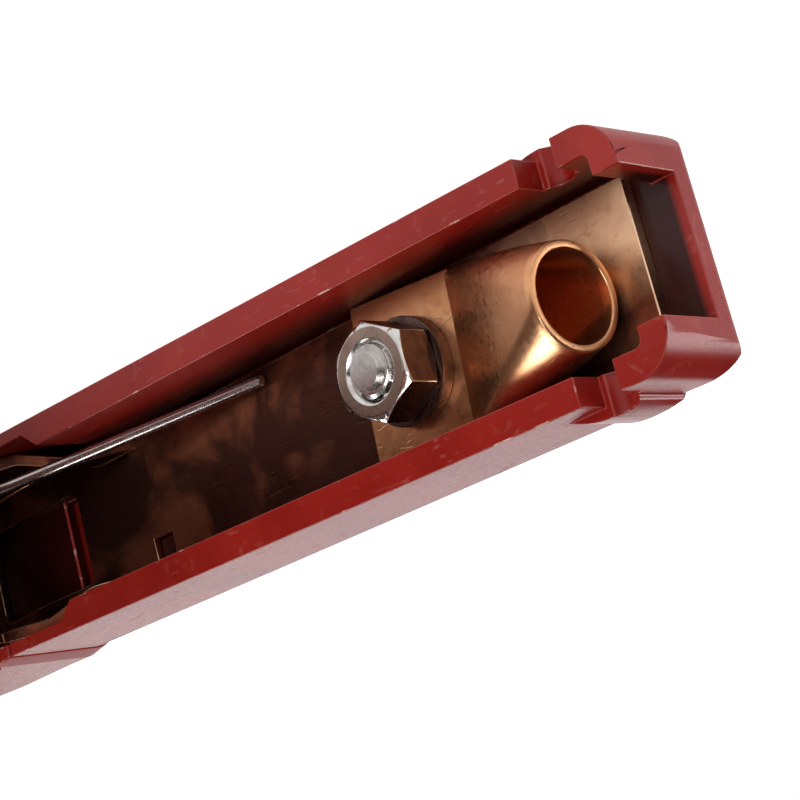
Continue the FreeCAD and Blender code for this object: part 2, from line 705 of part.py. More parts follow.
def export(nodes):
    """Sets the clip on its side, centred over the origin, and writes one file for each node."""
    os.makedirs("parts", exist_ok=True)
    box = FreeCAD.BoundBox()
    for shape in nodes.values():
        box.add(shape.BoundBox)
    shift = Vector(-box.Center.x, -box.Center.y, -box.ZMin)
    for name, shape in nodes.items():
        shape.translate(shift)
        shape.exportStep("parts/" + name + ".step")
    print("size", round(box.XLength, 2), round(box.YLength, 2), round(box.ZLength, 2))
    print("pin axis", round(shift.x, 3), round(shift.y, 3), round(shift.z, 3))


export(build())
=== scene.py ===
"""Dresses the insulated crocodile clip and sets it in the photographed studio view."""

from __future__ import annotations

import json
import logging
import math
from collections.abc import Callable
from dataclasses import dataclass
from enum import Enum

import bmesh
import bpy
from mathutils import Matrix, Vector
from mathutils.bvhtree import BVHTree

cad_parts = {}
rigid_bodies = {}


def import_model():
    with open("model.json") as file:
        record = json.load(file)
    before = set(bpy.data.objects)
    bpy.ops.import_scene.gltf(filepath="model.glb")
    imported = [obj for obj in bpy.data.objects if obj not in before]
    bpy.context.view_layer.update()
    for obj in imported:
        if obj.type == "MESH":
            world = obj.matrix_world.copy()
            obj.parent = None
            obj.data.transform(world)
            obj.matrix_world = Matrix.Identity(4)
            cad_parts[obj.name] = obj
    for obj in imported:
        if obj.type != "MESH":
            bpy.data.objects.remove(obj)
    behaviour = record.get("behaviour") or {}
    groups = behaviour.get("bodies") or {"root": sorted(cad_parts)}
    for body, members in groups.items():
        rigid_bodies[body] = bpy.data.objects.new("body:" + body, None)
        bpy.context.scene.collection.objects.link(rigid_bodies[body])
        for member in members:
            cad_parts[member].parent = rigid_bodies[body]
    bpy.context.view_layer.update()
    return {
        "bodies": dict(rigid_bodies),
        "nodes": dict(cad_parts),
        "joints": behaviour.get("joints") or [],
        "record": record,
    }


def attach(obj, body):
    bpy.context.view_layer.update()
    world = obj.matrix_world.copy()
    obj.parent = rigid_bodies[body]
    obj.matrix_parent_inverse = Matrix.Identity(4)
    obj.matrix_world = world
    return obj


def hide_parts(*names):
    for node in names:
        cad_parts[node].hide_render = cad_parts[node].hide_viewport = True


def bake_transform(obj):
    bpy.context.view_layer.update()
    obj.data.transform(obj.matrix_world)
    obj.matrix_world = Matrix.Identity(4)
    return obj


LOG = logging.getLogger("clip")

Colour = tuple[float, float, float]
Point = tuple[float, float, float]
Stretch = tuple[float, float]

MM = 0.001  # one millimetre in metres
WELD = 2e-6  # corners closer than this are one
SPLAY = math.radians(17.0)  # between each handle and the middle plane
PIN_AXIS = Vector((-0.019474, 0.0, 0.014102))


class Side(Enum):
    """The two halves of the clip, named after their bodies."""

    CABLE = "cable_side"
    PLAIN = "plain_side"


@dataclass(frozen=True)
class ArmFrame:
    """Turns places along a handle into places in the model.

    The pin's axis is the origin, x runs to the handle's end, z from the web towards the other arm.
    """

    side: Side = Side.CABLE

    def place(self, x: float, y: float, z: float) -> Vector:
        """Gives the place in the model.

        Args:
            x: Along the handle, in millimetres.
            y: Across the handle, in millimetres.
            z: Height towards the other arm, in millimetres.

        Returns:
            The place in metres.
        """
        return PIN_AXIS + self.turn() @ Vector((x, y, z)) * MM

    def turn(self) -> Matrix:
        """Gives the rotation from the arm's directions to the model's."""
        c, s = math.cos(SPLAY), math.sin(SPLAY)
        columns = Matrix(((c, 0.0, s), (-s, 0.0, c), (0.0, -1.0, 0.0)))
        if self.side is Side.PLAIN:
            return Matrix.Rotation(math.pi, 3, "X") @ columns
        return columns


def clear_selection() -> None:
    """Deselects every object."""
    for thing in bpy.context.view_layer.objects.selected[:]:
        thing.select_set(False)


def select_only(thing: bpy.types.Object) -> None:
    """Makes one object the selected and active one.

    Args:
        thing: The object.
    """
    clear_selection()
    thing.select_set(True)
    bpy.context.view_layer.objects.active = thing


class Bench:
    """Small steps of modelling by hand, shared by every piece."""

    SHARP = math.radians(34.0)  # edges above this angle are rounded
    STRIPS = 2  # strips that draw a rounded edge
    FLAT = math.radians(0.6)  # faces that meet at less than this are one flat face
    THROWN = 0.75  # share of the rounding's width that a corner may leave the surface by

    @staticmethod
    def new(name: str) -> bpy.types.Object:
        """Names the piece that was just added.

        Args:
            name: The piece's name.

        Returns:
            The piece.
        """
        piece = bpy.context.object
        piece.name = name
        return piece

    @staticmethod
    def edit(piece: bpy.types.Object, whole: bool = False) -> None:
        """Opens a piece in edit mode.

        Args:
            piece: The piece.
            whole: Whether all of it is selected, and not nothing.
        """
        select_only(piece)
        bpy.ops.object.mode_set(mode="EDIT")
        bpy.ops.mesh.select_mode(type="VERT")
        bpy.ops.mesh.select_all(action="SELECT" if whole else "DESELECT")

    @staticmethod
    def close() -> None:
        """Leaves edit mode."""
        bpy.ops.object.mode_set(mode="OBJECT")

    @staticmethod
    def pick(piece: bpy.types.Object, test: Callable[[Vector], bool]) -> None:
        """Selects the corners of a piece in edit mode by their place.

        Args:
            piece: The piece, open in edit mode.
            test: Says whether a corner at a place is taken.
        """
        mesh = bmesh.from_edit_mesh(piece.data)
        for corner in mesh.verts:
            corner.select = test(corner.co)
        mesh.select_flush_mode()
        mesh.select_flush(True)
        bmesh.update_edit_mesh(piece.data)

    @staticmethod
    def apply(piece: bpy.types.Object, kind: str, **options: object) -> None:
        """Adds a modifier and applies it at once.

        Args:
            piece: The piece.
            kind: The modifier's type.
            **options: Its settings.
        """
        select_only(piece)
        step = piece.modifiers.new("step", kind)
        for name, value in options.items():
            setattr(step, name, value)
        bpy.ops.object.modifier_apply(modifier=step.name)

    @staticmethod
    def settle(piece: bpy.types.Object, frame: ArmFrame) -> None:
        """Moves a piece made in the arm's directions to its place and keeps the place in its mesh.

        Args:
            piece: The piece.
            frame: The arm that carries it.
        """
        select_only(piece)
        piece.matrix_world = Matrix.Translation(PIN_AXIS) @ frame.turn().to_4x4()
        bpy.ops.object.transform_apply(location=True, rotation=True, scale=True)

    @staticmethod
    def outward(piece: bpy.types.Object) -> None:
        """Merges doubles and turns every face outwards."""
        Bench.edit(piece, whole=True)
        bpy.ops.mesh.remove_doubles(threshold=WELD)
        bpy.ops.mesh.normals_make_consistent(inside=False)
        Bench.close()

    @staticmethod
    def smooth(piece: bpy.types.Object, degrees: float = 32.0) -> None:
        """Shades a piece smooth, apart from its sharp edges.

        Args:
            piece: The piece.
            degrees: Edges above this angle stay sharp.
        """
        select_only(piece)
        bpy.ops.object.shade_smooth_by_angle(angle=math.radians(degrees))

    @staticmethod
    def copy_node(node: bpy.types.Object, name: str) -> bpy.types.Object:
        """Copies a node of the solid model, merged and with its flat faces whole again.

        Args:
            node: The node's object, which stays as it is.
            name: The new piece's name.

        Returns:
            The copy.
        """
        piece = bpy.data.objects.new(name, node.data.copy())
        bpy.context.scene.collection.objects.link(piece)
        piece.data.materials.clear()
        Bench.edit(piece, whole=True)
        bpy.ops.mesh.remove_doubles(threshold=WELD)
        bpy.ops.mesh.dissolve_limited(angle_limit=Bench.FLAT, use_dissolve_boundaries=False)
        Bench.close()
        return piece

    @staticmethod
    def round_edges(piece: bpy.types.Object, width: float) -> None:
        """Rounds the sharp edges of a piece and gives the rounded strips the second material.

        Args:
            piece: The piece.
            width: Width of the rounding in millimetres.
        """
        skin = BVHTree.FromPolygons([corner.co.copy() for corner in piece.data.vertices],
                                    [tuple(face.vertices) for face in piece.data.polygons])
        Bench.apply(piece, "BEVEL", width=width * MM, segments=Bench.STRIPS, limit_method="ANGLE",
                    angle_limit=Bench.SHARP, use_clamp_overlap=False, material=1,
                    miter_outer="MITER_SHARP", harden_normals=False)
        for corner in piece.data.vertices:
            place, _, _, distance = skin.find_nearest(corner.co)
            if distance > Bench.THROWN * width * MM:
                corner.co = place  # a corner thrown out at a tight place goes back to the surface
        Bench.smooth(piece)
        Bench.apply(piece, "WEIGHTED_NORMAL", mode="FACE_AREA", keep_sharp=True)

    @staticmethod
    def join(main: bpy.types.Object, others: list[bpy.types.Object]) -> None:
        """Joins pieces into one.

        Args:
            main: The piece that stays.
            others: The pieces that go into it.
        """
        clear_selection()
        for piece in (main, *others):
            piece.select_set(True)
        bpy.context.view_layer.objects.active = main
        bpy.ops.object.join()

    @staticmethod
    def dress(piece: bpy.types.Object, *finishes: bpy.types.Material) -> None:
        """Gives a piece its finishes in order."""
        piece.data.materials.clear()
        for finish in finishes:
            piece.data.materials.append(finish)


class NodeSheet:
    """A node tree that is filled by short calls."""

    def __init__(self, tree: bpy.types.NodeTree) -> None:
        """Keeps the tree.

        Args:
            tree: The tree to fill.
        """
        self.tree = tree

    def add(self, kind: str, settings: dict[str, object] | None = None, **values: object) -> bpy.types.Node:
        """Adds a node, sets its options and values and links given sockets.

        Args:
            kind: The node's type.
            settings: Options of the node itself.
            **values: Socket names, with underscores for spaces, and their value or source socket.

        Returns:
            The new node.
        """
        node = self.tree.nodes.new(kind)
        for name, value in (settings or {}).items():
            setattr(node, name, value)
        for name, value in values.items():
            socket = node.inputs[name.replace("_", " ")]
            self.feed(socket, value)
        return node

    def place(self) -> bpy.types.NodeSocket:
        """Gives the place on the object, in its own coordinates."""
        return self.add("ShaderNodeTexCoord").outputs["Object"]

    def feed(self, socket: bpy.types.NodeSocket, value: object) -> None:
        """Links a socket to a source or sets its value.

        Args:
            socket: The input.
            value: A source socket or a plain value.
        """
        if isinstance(value, bpy.types.NodeSocket):
            self.tree.links.new(value, socket)
        else:
            socket.default_value = value

    def maths(self, operation: str, first: object, second: object = 0.0,
              limit: bool = False) -> bpy.types.NodeSocket:
        """Adds a calculation with two values.

        Args:
            operation: The kind of calculation.
            first: A source socket or number.
            second: A source socket or number.
            limit: Whether the result stays between 0 and 1.

        Returns:
            The result.
        """
        node = self.tree.nodes.new("ShaderNodeMath")
        node.operation = operation
        node.use_clamp = limit
        self.feed(node.inputs[0], first)
        self.feed(node.inputs[1], second)
        return node.outputs[0]

    def blend(self, share: object, first: object, second: object) -> bpy.types.NodeSocket:
        """Mixes two colours.

        Args:
            share: How much of the second colour shows.
            first: A colour or source.
            second: A colour or source.

        Returns:
            The mixed colour.
        """
        node = self.tree.nodes.new("ShaderNodeMix")
        node.data_type = "RGBA"
        self.feed(node.inputs[0], share)
        for socket, value in ((node.inputs[6], first), (node.inputs[7], second)):
            if isinstance(value, tuple) and len(value) == 3:
                value = (*value, 1.0)
            self.feed(socket, value)
        return node.outputs[2]

    def spread(self, value: object, low: float, high: float, start: float = 0.0,
               end: float = 1.0) -> bpy.types.NodeSocket:
        """Maps a stretch of values to another.

        Args:
            value: The source socket.
            low: Where the stretch starts.
            high: Where it ends.
            start: The result at low.
            end: The result at high.

        Returns:
            The mapped value.
        """
        node = self.tree.nodes.new("ShaderNodeMapRange")
        node.clamp = True
        self.feed(node.inputs[0], value)
        for socket, number in zip(node.inputs[1:5], (low, high, start, end)):
            socket.default_value = number
        return node.outputs[0]

    def noise(self, where: object, scale: float, detail: float = 3.0,
              warp: float = 0.0) -> bpy.types.NodeSocket:
        """Adds a noise pattern.

        Args:
            where: The coordinates.
            scale: Size of the pattern, larger is finer.
            detail: How many finer layers it has.
            warp: How much the pattern is bent.

        Returns:
            The noise value.
        """
        node = self.add("ShaderNodeTexNoise", Vector=where, Scale=scale, Detail=detail, Distortion=warp)
        return node.outputs["Fac"]


class SharedEffects:
    """Node groups that more than one finish uses."""

    def __init__(self) -> None:
        """Builds the groups once."""
        self.scratches = self._scratches()
        self.places = self._places()
        self.stain = self._stain()

    @staticmethod
    def _group(name: str, inputs: dict[str, float],
               outputs: tuple[str, ...]) -> tuple[bpy.types.NodeTree, NodeSheet]:
        """Starts a group with number inputs and outputs.

        Args:
            name: The group's name.
            inputs: Input names with their usual values.
            outputs: Output names.

        Returns:
            The group and its sheet.
        """
        tree = bpy.data.node_groups.new(name, "ShaderNodeTree")
        for label, value in inputs.items():
            socket = tree.interface.new_socket(label, in_out="INPUT", socket_type="NodeSocketFloat")
            socket.default_value = value
        for label in outputs:
            tree.interface.new_socket(label, in_out="OUTPUT", socket_type="NodeSocketFloat")
        return tree, NodeSheet(tree)

    def _scratches(self) -> bpy.types.NodeTree:
        """Builds fine crossing scratches, thin lines of a stretched noise.

        Returns:
            The group, which puts out a mask.
        """
        tree, sheet = self._group("fine_scratches", {"Density": 1.0}, ("Mask",))
        source = sheet.add("NodeGroupInput")
        where = sheet.place()
        total: object = 0.0
        for turn, stretch in (((0.2, 0.5, 0.3), 9.0), ((1.1, -0.4, 1.9), 7.0), ((-0.7, 1.3, 0.8), 11.0)):
            mapping = sheet.add("ShaderNodeMapping", Vector=where, Rotation=turn,
                                Scale=(stretch * 14.0, 1400.0, 1400.0))
            lines = sheet.noise(mapping.outputs[0], 1.0, 1.0, 0.25)
            thin = sheet.spread(lines, 0.69, 0.74)
            total = sheet.maths("MAXIMUM", thin, total)
        patches = sheet.noise(where, 130.0, 2.0)
        gate = sheet.spread(patches, 0.42, 0.62)
        mask = sheet.maths("MULTIPLY", sheet.maths("MULTIPLY", total, gate), source.outputs["Density"], True)
        out = sheet.add("NodeGroupOutput")
        sheet.feed(out.inputs[0], mask)
        return tree

    def _places(self) -> bpy.types.NodeTree:
        """Builds the place on either arm, from the pin: along the handle, in height and off the middle.

        Returns:
            The group, which puts out three lengths in metres.
        """
        tree, sheet = self._group("arm_places", {}, ("Along", "Height", "Aside"))
        where = sheet.place()
        parts = sheet.add("ShaderNodeSeparateXYZ", Vector=where)
        ahead = sheet.maths("SUBTRACT", parts.outputs[0], PIN_AXIS.x)
        away = sheet.maths("ABSOLUTE", parts.outputs[1])
        c, s = math.cos(SPLAY), math.sin(SPLAY)
        along = sheet.maths("ADD", sheet.maths("MULTIPLY", ahead, c), sheet.maths("MULTIPLY", away, s))
        height = sheet.maths("SUBTRACT", sheet.maths("MULTIPLY", ahead, s), sheet.maths("MULTIPLY", away, c))
        aside = sheet.maths("SUBTRACT", parts.outputs[2], PIN_AXIS.z)
        out = sheet.add("NodeGroupOutput")
        for socket, value in zip(out.inputs, (along, height, aside)):
            sheet.feed(socket, value)
        return tree

    def _stain(self) -> bpy.types.NodeTree:
        """Builds soft uneven patches at two sizes.

        Returns:
            The group, which puts out a mask.
        """
        tree, sheet = self._group("uneven_patches", {"Size": 120.0, "Low": 0.4, "High": 0.65}, ("Mask",))
        source = sheet.add("NodeGroupInput")
        where = sheet.place()
        broad = sheet.add("ShaderNodeTexNoise", Vector=where, Scale=source.outputs["Size"], Detail=5.0,
                          Distortion=0.6)
        node = tree.nodes.new("ShaderNodeMapRange")
        node.interpolation_type = "SMOOTHSTEP"
        sheet.feed(node.inputs[0], broad.outputs["Fac"])
        sheet.feed(node.inputs[1], source.outputs["Low"])
        sheet.feed(node.inputs[2], source.outputs["High"])
        out = sheet.add("NodeGroupOutput")
        sheet.feed(out.inputs[0], node.outputs[0])
        return tree


@dataclass(frozen=True)
class Finish:
    """What every finish shares: its name and how it starts a material."""

    name: str

    def start(self) -> tuple[bpy.types.Material, NodeSheet, bpy.types.Node]:
        """Makes an empty material with one shader.

        Returns:
            The material, its sheet and the shader node.
        """
        material = bpy.data.materials.new(self.name)
        material.use_nodes = True
        tree = material.node_tree
        tree.nodes.clear()
        sheet = NodeSheet(tree)
        shader = sheet.add("ShaderNodeBsdfPrincipled")
        out = sheet.add("ShaderNodeOutputMaterial")
        tree.links.new(shader.outputs[0], out.inputs[0])
        return material, sheet, shader

    @staticmethod
    def effect(sheet: NodeSheet, group: bpy.types.NodeTree, **values: float) -> bpy.types.NodeSocket:
        """Places a shared effect.

        Args:
            sheet: The material's sheet.
            group: The effect's group.
            **values: Its input values.

        Returns:
            The effect's mask.
        """
        node = sheet.add("ShaderNodeGroup", {"node_tree": group})
        for name, value in values.items():
            node.inputs[name].default_value = value
        return node.outputs[0]


@dataclass(frozen=True)
class RedMoulding(Finish):
    """Glossy red plastic, faintly uneven and scratched, with painted shade deep inside its channel, nearly
    black there.
    """

    deep: Colour = (0.29, 0.010, 0.006)
    bright: Colour = (0.38, 0.018, 0.011)
    rubbed: Colour = (0.6, 0.26, 0.23)
    # painted shade deep in the channel
    painted_shade: Colour = (0.035, 0.004, 0.003)
    rub: float = 0.22
    walls: Stretch = (0.0103, 0.0099)  # off the middle: from the side walls inwards
    depth: Stretch = (-0.0100, -0.0150)  # height from the pin: painted shade from the unshaded rim down
    back: Stretch = (-0.0206, -0.0202)  # height from the pin: the grip's own floor gets no painted shade
    lip: Stretch = (0.1112, 0.1104)  # along the handle: the end wall gets no painted shade

    def make(self, effects: SharedEffects) -> bpy.types.Material:
        """Builds the material.

        Args:
            effects: The shared groups.

        Returns:
            The material.
        """
        material, sheet, shader = self.start()
        where = sheet.place()
        tone = self.effect(sheet, effects.stain, Size=60.0, Low=0.3, High=0.7)
        scuff = self.effect(sheet, effects.stain, Size=520.0, Low=0.6, High=0.8)
        lines = self.effect(sheet, effects.scratches, Density=0.8)
        base = sheet.blend(tone, self.deep, self.bright)
        # Painted shade: deep in the channel the red turns nearly black, where the walls would shade it.
        inside = self._shade_mask(sheet, effects)
        base = sheet.blend(inside, base, self.painted_shade)
        worn = sheet.maths("MULTIPLY", sheet.maths("MAXIMUM", scuff, lines), self.rub, True)
        worn = sheet.maths("MULTIPLY", worn, sheet.maths("SUBTRACT", 1.0, inside))
        sheet.feed(shader.inputs["Base Color"], sheet.blend(worn, base, self.rubbed))
        fine = sheet.noise(where, 2600.0, 3.0)
        rough = sheet.maths("ADD", sheet.spread(fine, 0.3, 0.7, 0.27, 0.36),
                            sheet.maths("MULTIPLY", worn, 0.6))
        sheet.feed(shader.inputs["Roughness"], rough)
        waves = sheet.maths("MULTIPLY", sheet.noise(where, 500.0, 3.0), 0.5)
        height = sheet.maths("SUBTRACT", waves, lines)
        bump = sheet.add("ShaderNodeBump", Strength=0.08, Distance=0.0001, Height=height)
        sheet.feed(shader.inputs["Normal"], bump.outputs[0])
        shader.inputs["Specular IOR Level"].default_value = 0.36
        shader.inputs["Coat Weight"].default_value = 0.04
        shader.inputs["Coat Roughness"].default_value = 0.2
        return material

    def _shade_mask(self, sheet: NodeSheet, effects: SharedEffects) -> bpy.types.NodeSocket:
        """Masks the deep part of the channel, where the painted shade goes.

        Args:
            sheet: The material's sheet.
            effects: The shared groups.

        Returns:
            The mask.
        """
        places = sheet.add("ShaderNodeGroup", {"node_tree": effects.places})
        aside = sheet.maths("ABSOLUTE", places.outputs["Aside"])
        between = sheet.spread(aside, *self.walls)
        deep = sheet.spread(places.outputs["Height"], *self.depth)
        above_back = sheet.spread(places.outputs["Height"], *self.back)
        before_lip = sheet.spread(places.outputs["Along"], *self.lip)
        mask = sheet.maths("MULTIPLY", sheet.maths("MULTIPLY", between, deep), above_back)
        return sheet.maths("MULTIPLY", mask, before_lip, True)


@dataclass(frozen=True)
class MouldingEdge(Finish):
    """The rubbed edges of the red plastic, pale where flash was trimmed."""

    body: Colour = (0.36, 0.03, 0.02)
    pale: Colour = (0.8, 0.5, 0.42)

    def make(self, effects: SharedEffects) -> bpy.types.Material:
        """Builds the material.

        Args:
            effects: The shared groups.

        Returns:
            The material.
        """
        material, sheet, shader = self.start()
        burr = self.effect(sheet, effects.stain, Size=380.0, Low=0.6, High=0.72)
        sheet.feed(shader.inputs["Base Color"], sheet.blend(burr, self.body, self.pale))
        sheet.feed(shader.inputs["Roughness"], sheet.spread(burr, 0.0, 1.0, 0.25, 0.5))
        return material


@dataclass(frozen=True)
class CopperSkin(Finish):
    """Copper, from bright to browned, with drawn lines and stains."""

    bright: Colour = (0.78, 0.42, 0.24)
    dark: Colour = (0.34, 0.13, 0.06)
    scratch: Colour = (0.9, 0.6, 0.42)
    browned: float = 0.5
    smooth: float = 0.26

    def make(self, effects: SharedEffects) -> bpy.types.Material:
        """Builds the material.

        Args:
            effects: The shared groups.

        Returns:
            The material.
        """
        material, sheet, shader = self.start()
        where = sheet.place()
        broad = self.effect(sheet, effects.stain, Size=110.0, Low=0.36, High=0.66)
        specks = self.effect(sheet, effects.stain, Size=900.0, Low=0.56, High=0.7)
        lines = self.effect(sheet, effects.scratches, Density=0.9)
        stains = sheet.maths("ADD", broad, sheet.maths("MULTIPLY", specks, 0.4))
        brown = sheet.maths("MULTIPLY", stains, self.browned, True)
        base = sheet.blend(brown, self.bright, self.dark)
        scratched = sheet.blend(sheet.maths("MULTIPLY", lines, 0.35), base, self.scratch)
        sheet.feed(shader.inputs["Base Color"], scratched)
        shader.inputs["Metallic"].default_value = 1.0
        fine = sheet.spread(sheet.noise(where, 1500.0), 0.3, 0.7, self.smooth - 0.05, self.smooth + 0.06)
        rough = sheet.maths("ADD", fine, sheet.maths("MULTIPLY", brown, 0.16))
        sheet.feed(shader.inputs["Roughness"], rough)
        waves = sheet.maths("MULTIPLY", sheet.noise(where, 420.0, 4.0), 0.7)
        height = sheet.maths("SUBTRACT", waves, lines)
        bump = sheet.add("ShaderNodeBump", Strength=0.25, Distance=0.00012, Height=height)
        sheet.feed(shader.inputs["Normal"], bump.outputs[0])
        return material


@dataclass(frozen=True)
class ShadedAndLitPlate(CopperSkin):
    """The arm's copper plate: painted shade makes it nearly black in the channel, blotched with brown stains,
    and a painted pool of light makes it bright only at the handle's end.
    """

    # painted shade of the channel, blotched between a dark and a brown stain colour
    shaded_stain_dark: Colour = (0.11, 0.042, 0.03)
    shaded_stain_brown: Colour = (0.42, 0.15, 0.08)
    clean_end: Stretch = (0.088, 0.1)  # along the handle, where the painted light begins
    clean_side: Stretch = (0.004, -0.001)  # off the middle, where the painted light fades out towards one side

    def make(self, effects: SharedEffects) -> bpy.types.Material:
        """Builds the material.

        Args:
            effects: The shared groups.

        Returns:
            The material.
        """
        material = super().make(effects)
        sheet = NodeSheet(material.node_tree)
        shader = next(node for node in material.node_tree.nodes if node.type == "BSDF_PRINCIPLED")
        # Painted light: a bright patch at the handle's end, fading towards one side; elsewhere painted shade
        # with stain blotches.
        clean = shader.inputs["Base Color"].links[0].from_socket
        places = sheet.add("ShaderNodeGroup", {"node_tree": effects.places})
        ragged = self.effect(sheet, effects.stain, Size=260.0, Low=0.3, High=0.7)
        patch = sheet.maths("ADD", places.outputs["Along"], sheet.maths("MULTIPLY", ragged, 0.006))
        end = sheet.spread(patch, *self.clean_end)
        lit = sheet.maths("MULTIPLY", end, sheet.spread(places.outputs["Aside"], *self.clean_side, 0.05, 1.0))
        blotch = self.effect(sheet, effects.stain, Size=75.0, Low=0.48, High=0.64)
        shade_and_stain = sheet.blend(blotch, self.shaded_stain_dark, self.shaded_stain_brown)
        sheet.feed(shader.inputs["Base Color"], sheet.blend(lit, shade_and_stain, clean))
        return material


@dataclass(frozen=True)
class PlatedSteel(Finish):
    """Bright plated steel with faint smears and turning marks."""

    tone: Colour = (0.8, 0.79, 0.76)
    dull: Colour = (0.5, 0.45, 0.41)
    smooth: float = 0.16

    def make(self, effects: SharedEffects) -> bpy.types.Material:
        """Builds the material.

        Args:
            effects: The shared groups.

        Returns:
            The material.
        """
        material, sheet, shader = self.start()
        where = sheet.place()
        smear = self.effect(sheet, effects.stain, Size=500.0, Low=0.4, High=0.7)
        lines = self.effect(sheet, effects.scratches, Density=0.6)
        smeared = sheet.blend(sheet.maths("MULTIPLY", smear, 0.6), self.tone, self.dull)
        sheet.feed(shader.inputs["Base Color"], smeared)
        shader.inputs["Metallic"].default_value = 1.0
        fine = sheet.spread(sheet.noise(where, 2200.0), 0.3, 0.7, self.smooth - 0.04, self.smooth + 0.08)
        rough = sheet.maths("ADD", fine, sheet.maths("MULTIPLY", smear, 0.1))
        sheet.feed(shader.inputs["Roughness"], rough)
        sunk = sheet.maths("MULTIPLY", lines, -1.0)
        bump = sheet.add("ShaderNodeBump", Strength=0.12, Distance=0.00005, Height=sunk)
        sheet.feed(shader.inputs["Normal"], bump.outputs[0])
        return material


@dataclass
class PhotoCamera:
    """The camera that took the photograph, worked out from the nut, the lug and the rims."""

    spot: Point = (0.22330156, 0.07172894, 0.06395951)
    right: Point = (0.45375516, -0.85651553, 0.24594188)
    down: Point = (-0.31486365, 0.10408865, 0.94341212)
    ahead: Point = (-0.83364689, -0.50551628, -0.22245485)
    lens: float = 89.078

    def build(self) -> None:
        """Makes the camera and gives it to the scene."""
        data = bpy.data.cameras.new("photo_camera")
        data.lens = self.lens
        data.sensor_width = 36.0
        data.clip_start = 0.01
        camera = bpy.data.objects.new("photo_camera", data)
        bpy.context.scene.collection.objects.link(camera)
        axes = Matrix((self.right, -Vector(self.down), -Vector(self.ahead))).transposed()
        camera.matrix_world = Matrix.Translation(self.spot) @ axes.to_4x4()
        bpy.context.scene.camera = camera


@dataclass(frozen=True)
class Lamp:
    """One soft square light that faces the handle's end."""

    name: str
    spot: Point
    size: float
    power: float
    aim: Point = (0.055, -0.03, 0.014)

    def build(self) -> None:
        """Makes the light."""
        data = bpy.data.lights.new(self.name, "AREA")
        data.size = self.size
        data.energy = self.power
        lamp = bpy.data.objects.new(self.name, data)
        bpy.context.scene.collection.objects.link(lamp)
        lamp.location = self.spot
        lamp.rotation_euler = (Vector(self.aim) - Vector(self.spot)).to_track_quat("-Z", "Y").to_euler()


@dataclass
class Studio:
    """Floor, lights and surroundings."""

    floor_half: float = 3.0
    sky: float = 0.06  # light of the room, apart from what the camera sees of it
    floor_tone: float = 0.6
    floor_glow: float = 0.5  # light that the floor gives the clip, beside what the camera sees of it
    lamps: tuple[Lamp, ...] = (
        Lamp("key_light", (0.36, 0.50, 0.32), 0.30, 1.8),
        Lamp("over_light", (-0.40, 0.25, 0.50), 0.40, 2.3),
        Lamp("end_light", (0.33, -0.70, 0.12), 0.50, 4.0),
        Lamp("back_light", (-0.62, -0.42, 0.20), 0.45, 0.8),
    )

    def build(self) -> None:
        """Makes the floor, the lights and the pale surroundings."""
        self._floor()
        for lamp in self.lamps:
            lamp.build()
        self._room()
        bpy.context.scene.view_settings.view_transform = "Standard"

    def _room(self) -> None:
        """Makes surroundings that the camera sees as white and that light the clip only a little."""
        world = bpy.data.worlds.new("pale_room")
        world.use_nodes = True
        tree = world.node_tree
        sheet = NodeSheet(tree)
        path = sheet.add("ShaderNodeLightPath")
        background = tree.nodes["Background"]
        background.inputs["Color"].default_value = (1.0, 1.0, 1.0, 1.0)
        level = sheet.spread(path.outputs["Is Camera Ray"], 0.0, 1.0, self.sky, 1.0)
        sheet.feed(background.inputs["Strength"], level)
        bpy.context.scene.world = world

    def _floor(self) -> None:
        """Makes the plain pale floor, which the camera sees as white as the room."""
        clear_selection()
        bpy.ops.mesh.primitive_plane_add(size=2.0 * self.floor_half, location=(0.0, 0.0, 0.0))
        floor = bpy.context.object
        floor.name = "floor"
        material = bpy.data.materials.new("pale_floor")
        material.use_nodes = True
        sheet = NodeSheet(material.node_tree)
        shader = material.node_tree.nodes["Principled BSDF"]
        shader.inputs["Base Color"].default_value = (self.floor_tone,) * 3 + (1.0,)
        shader.inputs["Roughness"].default_value = 0.9
        shader.inputs["Specular IOR Level"].default_value = 0.0
        shader.inputs["Emission Color"].default_value = (1.0, 1.0, 1.0, 1.0)
        path = sheet.add("ShaderNodeLightPath")
        level = sheet.spread(path.outputs["Is Camera Ray"], 0.0, 1.0, self.floor_glow, 1.0)
        sheet.feed(shader.inputs["Emission Strength"], level)
        floor.data.materials.append(material)


